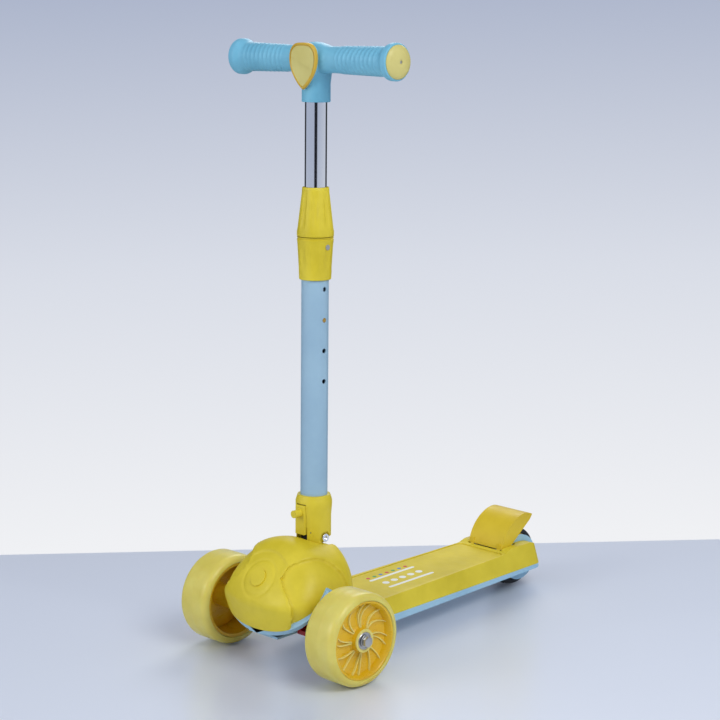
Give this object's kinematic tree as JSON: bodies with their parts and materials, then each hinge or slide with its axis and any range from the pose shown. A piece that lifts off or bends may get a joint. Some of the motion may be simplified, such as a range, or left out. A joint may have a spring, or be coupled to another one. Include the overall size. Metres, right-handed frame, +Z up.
{
  "type": "kick scooter",
  "caption": "Child's three-wheeled kick scooter with lean steering, folding stem, sliding T-bar and foot brake.",
  "frame": {"origin": "on the ground under the middle of the bounding box", "axes": "+X forward, +Y to the rider's left, +Z up"},
  "size_m": [0.5327, 0.3006, 0.7878],
  "materials": {
    "yellow_shell": "satin, fine moulded grain",
    "blue_shell": "satin, fine moulded grain",
    "turquoise_plastic": "satin",
    "red_plastic": "satin",
    "pad_rubber": "ribbed",
    "cream_tyre": "translucent, smooth",
    "black_tyre": "cross-hatched tread",
    "wheel_core": "glossy",
    "pale_plastic": "satin",
    "painted_tube": "satin paint",
    "chromed_tube": "polished",
    "steel": "zinc plated",
    "brass": "polished",
    "dark_plastic": "matte"
  },
  "bodies": {
    "chassis": {"head_shell": "yellow_shell", "head_bowl": "blue_shell", "head_frame": "dark_plastic", "head_emblem": "yellow_shell", "lean_pin": "steel", "centring_springs": "steel", "deck_shell": "yellow_shell", "deck_pad": "pad_rubber", "deck_tray": "blue_shell", "chassis_screws": "steel", "rear_axle_bolt": "steel", "rear_axle_nut": "steel", "brake_pin": "steel", "brake_spring": "steel", "fold_bolt": "steel", "fold_nut": "steel"},
    "lean_beam": {"axle_beam": "red_plastic", "kingpins": "steel"},
    "steering_link": {"tie_rod": "dark_plastic"},
    "left_steering": {"left_knuckle": "red_plastic", "left_axle_bolt": "steel", "left_axle_nut": "steel"},
    "right_steering": {"right_knuckle": "red_plastic", "right_axle_bolt": "steel", "right_axle_nut": "steel"},
    "left_wheel": {"left_front_tyre": "cream_tyre", "left_front_core": "wheel_core", "left_front_bearings": "steel"},
    "right_wheel": {"right_front_tyre": "cream_tyre", "right_front_core": "wheel_core", "right_front_bearings": "steel"},
    "rear_wheel": {"rear_tyre": "black_tyre", "rear_core": "wheel_core", "rear_bearings": "steel"},
    "foot_brake": {"rear_fender": "yellow_shell", "brake_block": "steel"},
    "stem": {"fold_collar": "yellow_shell", "latch_pin": "steel", "lower_tube": "painted_tube", "clamp_body": "yellow_shell", "clamp_screw": "steel", "clamp_collet": "dark_plastic"},
    "latch": {"latch_lever": "yellow_shell"},
    "clamp": {"clamp_nut": "yellow_shell"},
    "mast": {"upper_tube": "chromed_tube", "tube_bushing": "dark_plastic", "snap_spring": "steel", "handlebar_tee": "turquoise_plastic", "tee_screw": "steel", "handlebar_badge": "pale_plastic", "bar_tube": "steel", "left_grip": "turquoise_plastic", "right_grip": "turquoise_plastic", "left_end_cap": "pale_plastic", "right_end_cap": "pale_plastic", "end_cap_screws": "steel"},
    "button": {"snap_button": "brass"}
  },
  "joints": [
    {"name": "lean", "type": "hinge", "parent": "chassis", "child": "lean_beam", "pos_m": [0.20425, 0, 0.084], "axis": [1, 0, 0], "range_deg": [-8, 8], "stiffness_Nm_per_rad": 40, "deforming": ["centring_springs"]},
    {"name": "link_slide", "type": "slide", "parent": "lean_beam", "child": "steering_link", "axis": [0, 1, 0], "range_m": [-0.0038, 0.0038]},
    {"name": "left_steer", "type": "hinge", "parent": "lean_beam", "child": "left_steering", "pos_m": [0.20425, 0.05, 0.06], "axis": [0, 0, 1], "range_deg": [-10.6, 10.6]},
    {"name": "right_steer", "type": "hinge", "parent": "lean_beam", "child": "right_steering", "pos_m": [0.20425, -0.05, 0.06], "axis": [0, 0, 1], "range_deg": [-10.6, 10.6]},
    {"name": "left_wheel_spin", "type": "hinge", "parent": "left_steering", "child": "left_wheel", "pos_m": [0.20425, 0.1185, 0.06], "axis": [0, 1, 0], "continuous": true},
    {"name": "right_wheel_spin", "type": "hinge", "parent": "right_steering", "child": "right_wheel", "pos_m": [0.20425, -0.1185, 0.06], "axis": [0, 1, 0], "continuous": true},
    {"name": "rear_wheel_spin", "type": "hinge", "parent": "chassis", "child": "rear_wheel", "pos_m": [-0.22475, 0, 0.042], "axis": [0, 1, 0], "continuous": true},
    {"name": "brake_press", "type": "hinge", "parent": "chassis", "child": "foot_brake", "pos_m": [-0.18225, 0, 0.06], "axis": [0, -1, 0], "range_deg": [0, 7], "stiffness_Nm_per_rad": 2, "springref_deg": -8.59, "deforming": ["brake_spring"]},
    {"name": "stem_fold", "type": "hinge", "parent": "chassis", "child": "stem", "pos_m": [0.15265, 0, 0.1567], "axis": [0, -1, 0], "range_deg": [0, 80]},
    {"name": "latch_open", "type": "hinge", "parent": "stem", "child": "latch", "pos_m": [0.16928, 0, 0.16543], "axis": [0, 1, 0], "range_deg": [0, 18], "stiffness_Nm_per_rad": 0.5, "springref_deg": -11.46},
    {"name": "clamp_turn", "type": "hinge", "parent": "stem", "child": "clamp", "pos_m": [0.13433, 0, 0.5763], "axis": [-0.0436, 0, 0.999], "range_deg": [0, 90]},
    {"name": "height_slide", "type": "slide", "parent": "stem", "child": "mast", "axis": [-0.0436, 0, 0.999], "range_m": [-0.0786, 0.0393], "deforming": ["snap_button"]},
    {"name": "button_press", "type": "slide", "parent": "mast", "child": "button", "axis": [0, -1, 0], "range_m": [0, 0.0032], "stiffness_N_per_m": 300, "springref_m": -0.002, "deforming": ["snap_spring"]}
  ],
  "couplings": [
    {"joint": "link_slide", "follows": "lean", "m_per_rad": -0.026},
    {"joint": "left_steer", "follows": "lean", "ratio": 1.3},
    {"joint": "right_steer", "follows": "lean", "ratio": 1.3}
  ]
}
